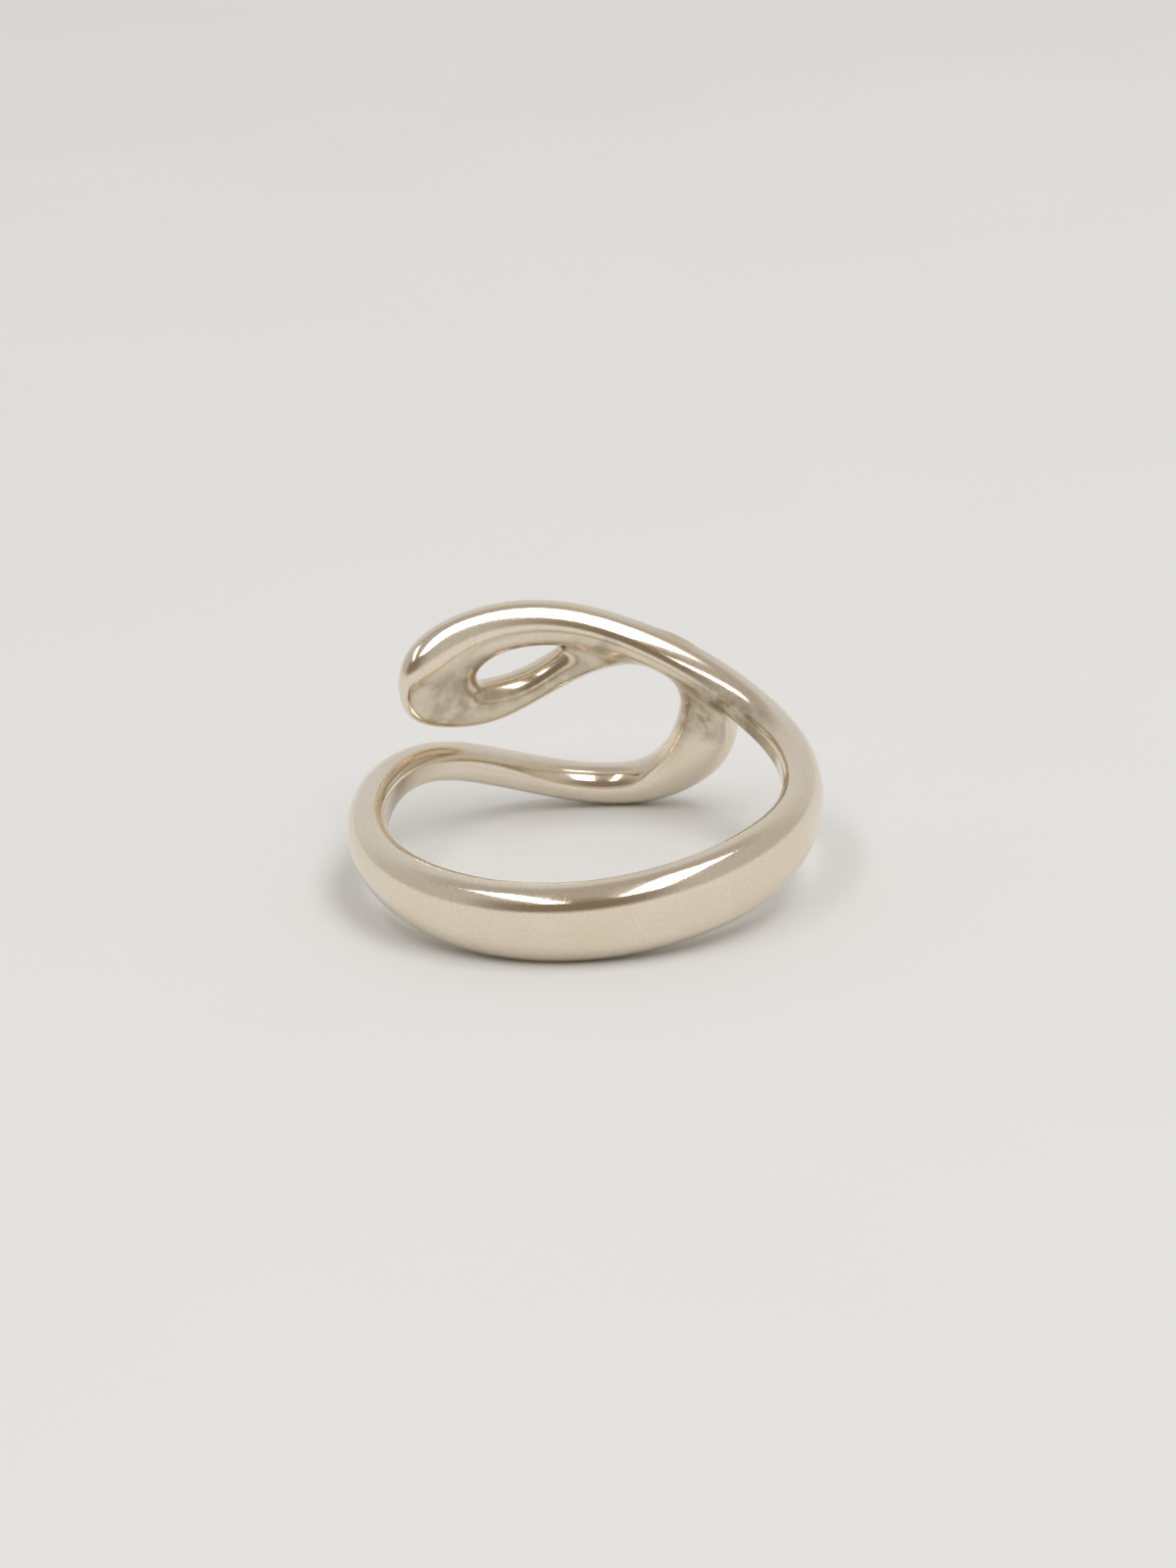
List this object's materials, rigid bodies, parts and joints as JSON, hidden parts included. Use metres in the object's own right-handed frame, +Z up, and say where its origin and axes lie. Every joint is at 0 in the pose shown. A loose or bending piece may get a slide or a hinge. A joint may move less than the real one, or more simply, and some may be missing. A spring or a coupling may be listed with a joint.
{
  "type": "adjustable open wave ring",
  "caption": "Adjustable finger ring of one polished silver strand: a domed shank whose ends cross the head as open waves, one of them closed in a broad loop.",
  "frame": {"origin": "centre of the box of the ring's outline seen from above, on the table that it lies on", "axes": "+Z up; the ring lies on its side with the shank towards -Y and the open wave head towards +Y; the loop end is on the -X side of the head. The finger axis leans from +Z by 11.2 degrees, mostly towards the shank, because the lower wave reaches below the shank."},
  "size_m": [0.02, 0.0212, 0.0101],
  "materials": {
    "polished_silver": "polished"
  },
  "bodies": {
    "root": {"wave_band": "polished_silver"}
  },
  "joints": []
}
